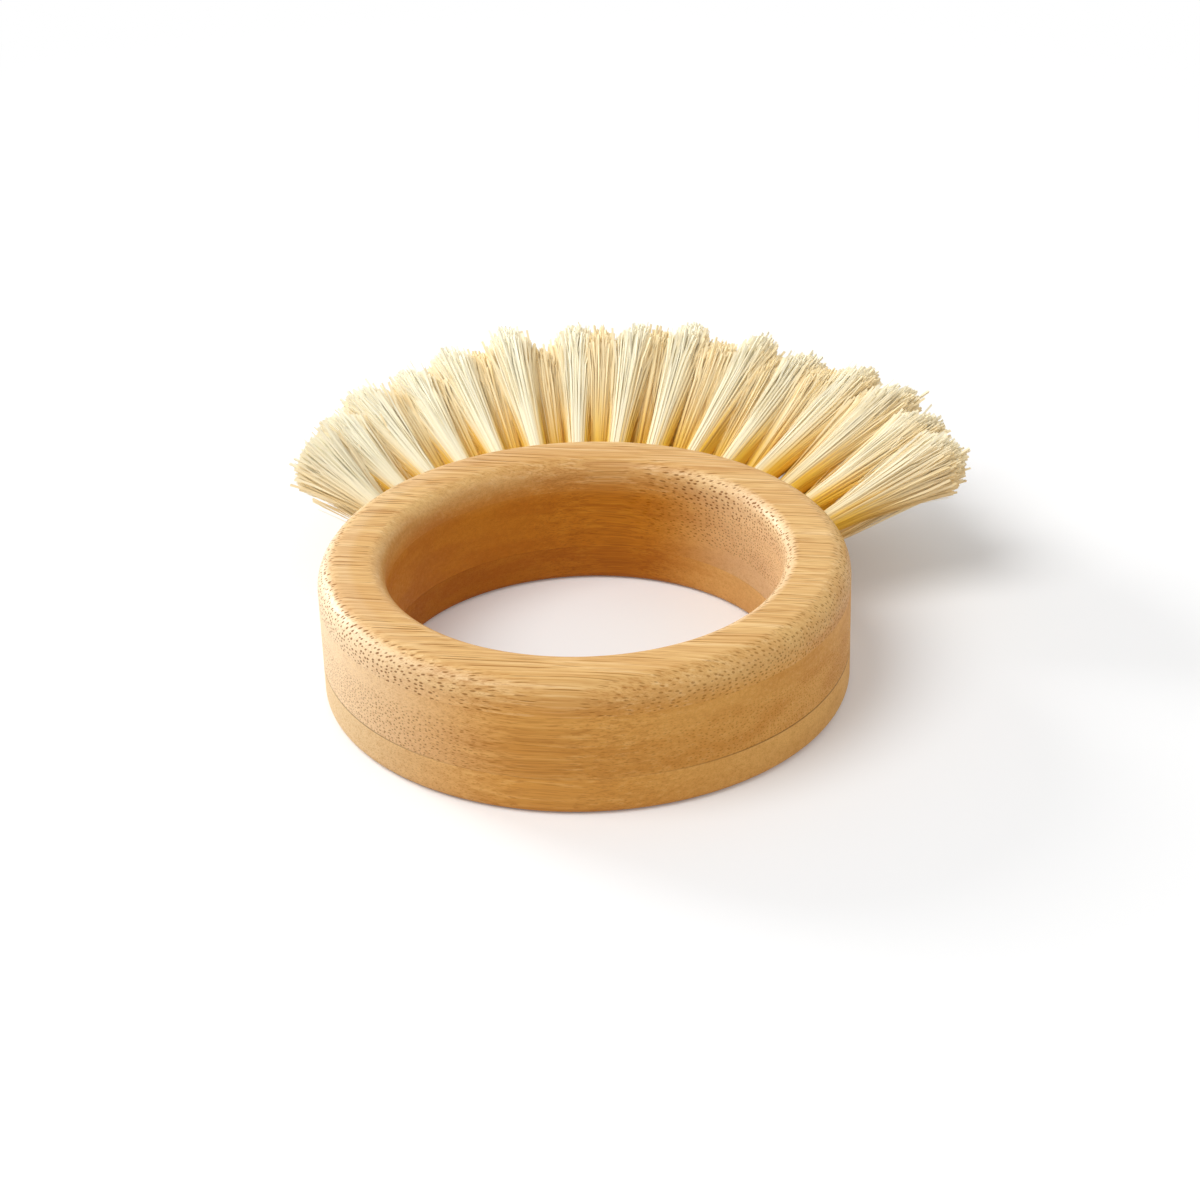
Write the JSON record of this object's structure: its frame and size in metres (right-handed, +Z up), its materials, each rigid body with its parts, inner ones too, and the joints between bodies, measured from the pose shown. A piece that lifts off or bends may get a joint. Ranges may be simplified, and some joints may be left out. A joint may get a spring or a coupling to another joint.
{
  "type": "vegetable brush",
  "caption": "Round bamboo ring handle with a fan of cream plant-fibre tufts set in the back of its outer wall, for scrubbing vegetables by hand.",
  "frame": {"origin": "on the surface that the brush lies on, under the middle of its outer box", "axes": "+Z up out of the ring's flat top, +Y from the ring towards the middle of the bristle fan"},
  "size_m": [0.1262, 0.1396, 0.0276],
  "materials": {
    "bamboo_base": "sanded and oiled bamboo, satin",
    "bamboo_core": "sanded and oiled bamboo, satin",
    "bamboo_top": "sanded and oiled bamboo, satin",
    "plant_fibre": "cream plant fibre, matt, golden towards the roots",
    "anchor_wire": "drawn flat wire"
  },
  "bodies": {
    "root": {"base_ply": "bamboo_base", "core_ply": "bamboo_core", "top_ply": "bamboo_top", "bristles_far_left": "plant_fibre", "bristles_left": "plant_fibre", "bristles_right": "plant_fibre", "bristles_far_right": "plant_fibre", "tuft_anchor_01": "anchor_wire", "tuft_anchor_02": "anchor_wire", "tuft_anchor_03": "anchor_wire", "tuft_anchor_04": "anchor_wire", "tuft_anchor_05": "anchor_wire", "tuft_anchor_06": "anchor_wire", "tuft_anchor_07": "anchor_wire", "tuft_anchor_08": "anchor_wire", "tuft_anchor_09": "anchor_wire", "tuft_anchor_10": "anchor_wire", "tuft_anchor_11": "anchor_wire", "tuft_anchor_12": "anchor_wire", "tuft_anchor_13": "anchor_wire", "tuft_anchor_14": "anchor_wire", "tuft_anchor_15": "anchor_wire", "tuft_anchor_16": "anchor_wire", "tuft_anchor_17": "anchor_wire", "tuft_anchor_18": "anchor_wire", "tuft_anchor_19": "anchor_wire", "tuft_anchor_20": "anchor_wire", "tuft_anchor_21": "anchor_wire", "tuft_anchor_22": "anchor_wire", "tuft_anchor_23": "anchor_wire", "tuft_anchor_24": "anchor_wire", "tuft_anchor_25": "anchor_wire", "tuft_anchor_26": "anchor_wire", "tuft_anchor_27": "anchor_wire", "tuft_anchor_28": "anchor_wire", "tuft_anchor_29": "anchor_wire"}
  },
  "joints": []
}
